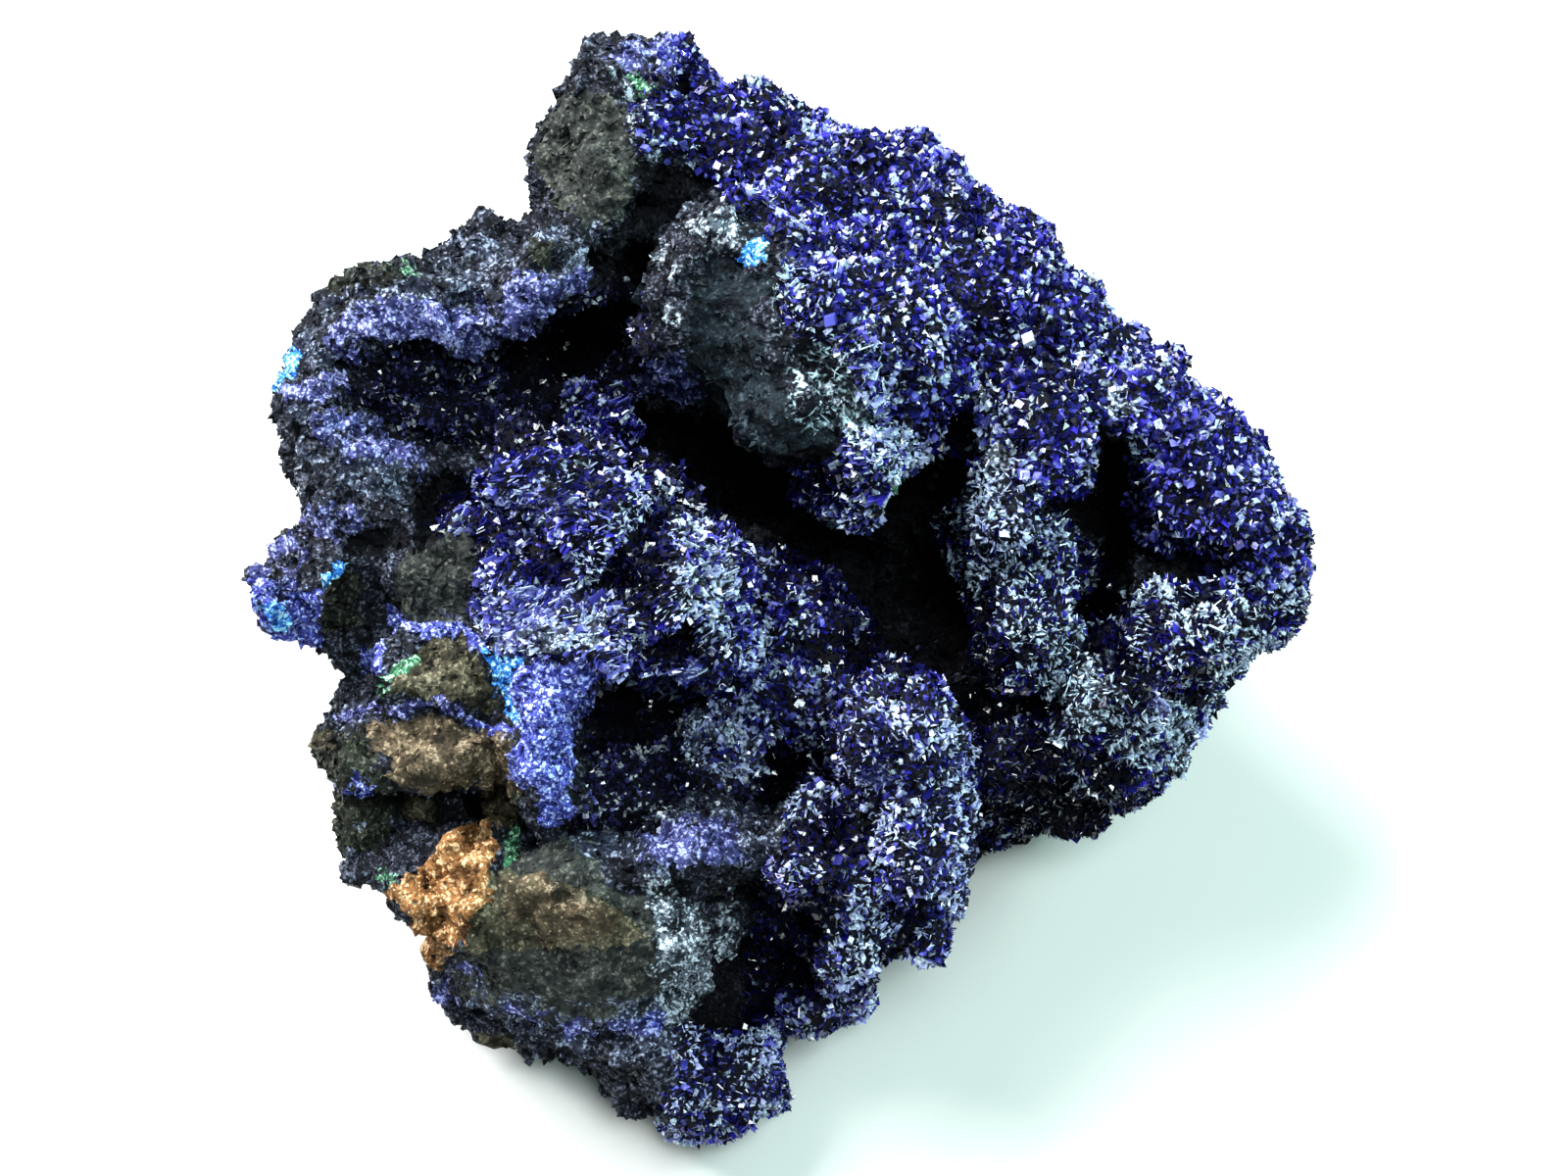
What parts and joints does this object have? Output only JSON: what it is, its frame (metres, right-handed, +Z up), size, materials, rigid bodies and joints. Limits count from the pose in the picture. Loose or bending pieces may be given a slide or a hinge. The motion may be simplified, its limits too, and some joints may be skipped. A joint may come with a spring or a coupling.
{
  "type": "azurite specimen",
  "caption": "Rough lump of iron-stained host rock, full of hollows, with crusts of small deep blue azurite crystals, on a flat base.",
  "frame": {"origin": "on the flat base that the rock rests on, straight below the centre of its display face", "axes": "+X to the right across the display face, +Y from the display face to the back, +Z up from the flat base"},
  "size_m": [0.0996, 0.093, 0.0675],
  "materials": {
    "host_rock": "rough stone, grey-brown with blue and green stains",
    "azurite": "glassy deep blue crystals",
    "azurite_in_shade": "glassy blue-black crystals"
  },
  "bodies": {
    "root": {"host_rock": "host_rock", "azurite_crust_slope": "azurite", "azurite_crust_front": "azurite", "azurite_crust_ridge": "azurite", "azurite_crust_tail": "azurite", "left_vug_crust": "azurite_in_shade", "pit_crust": "azurite_in_shade"}
  },
  "joints": []
}
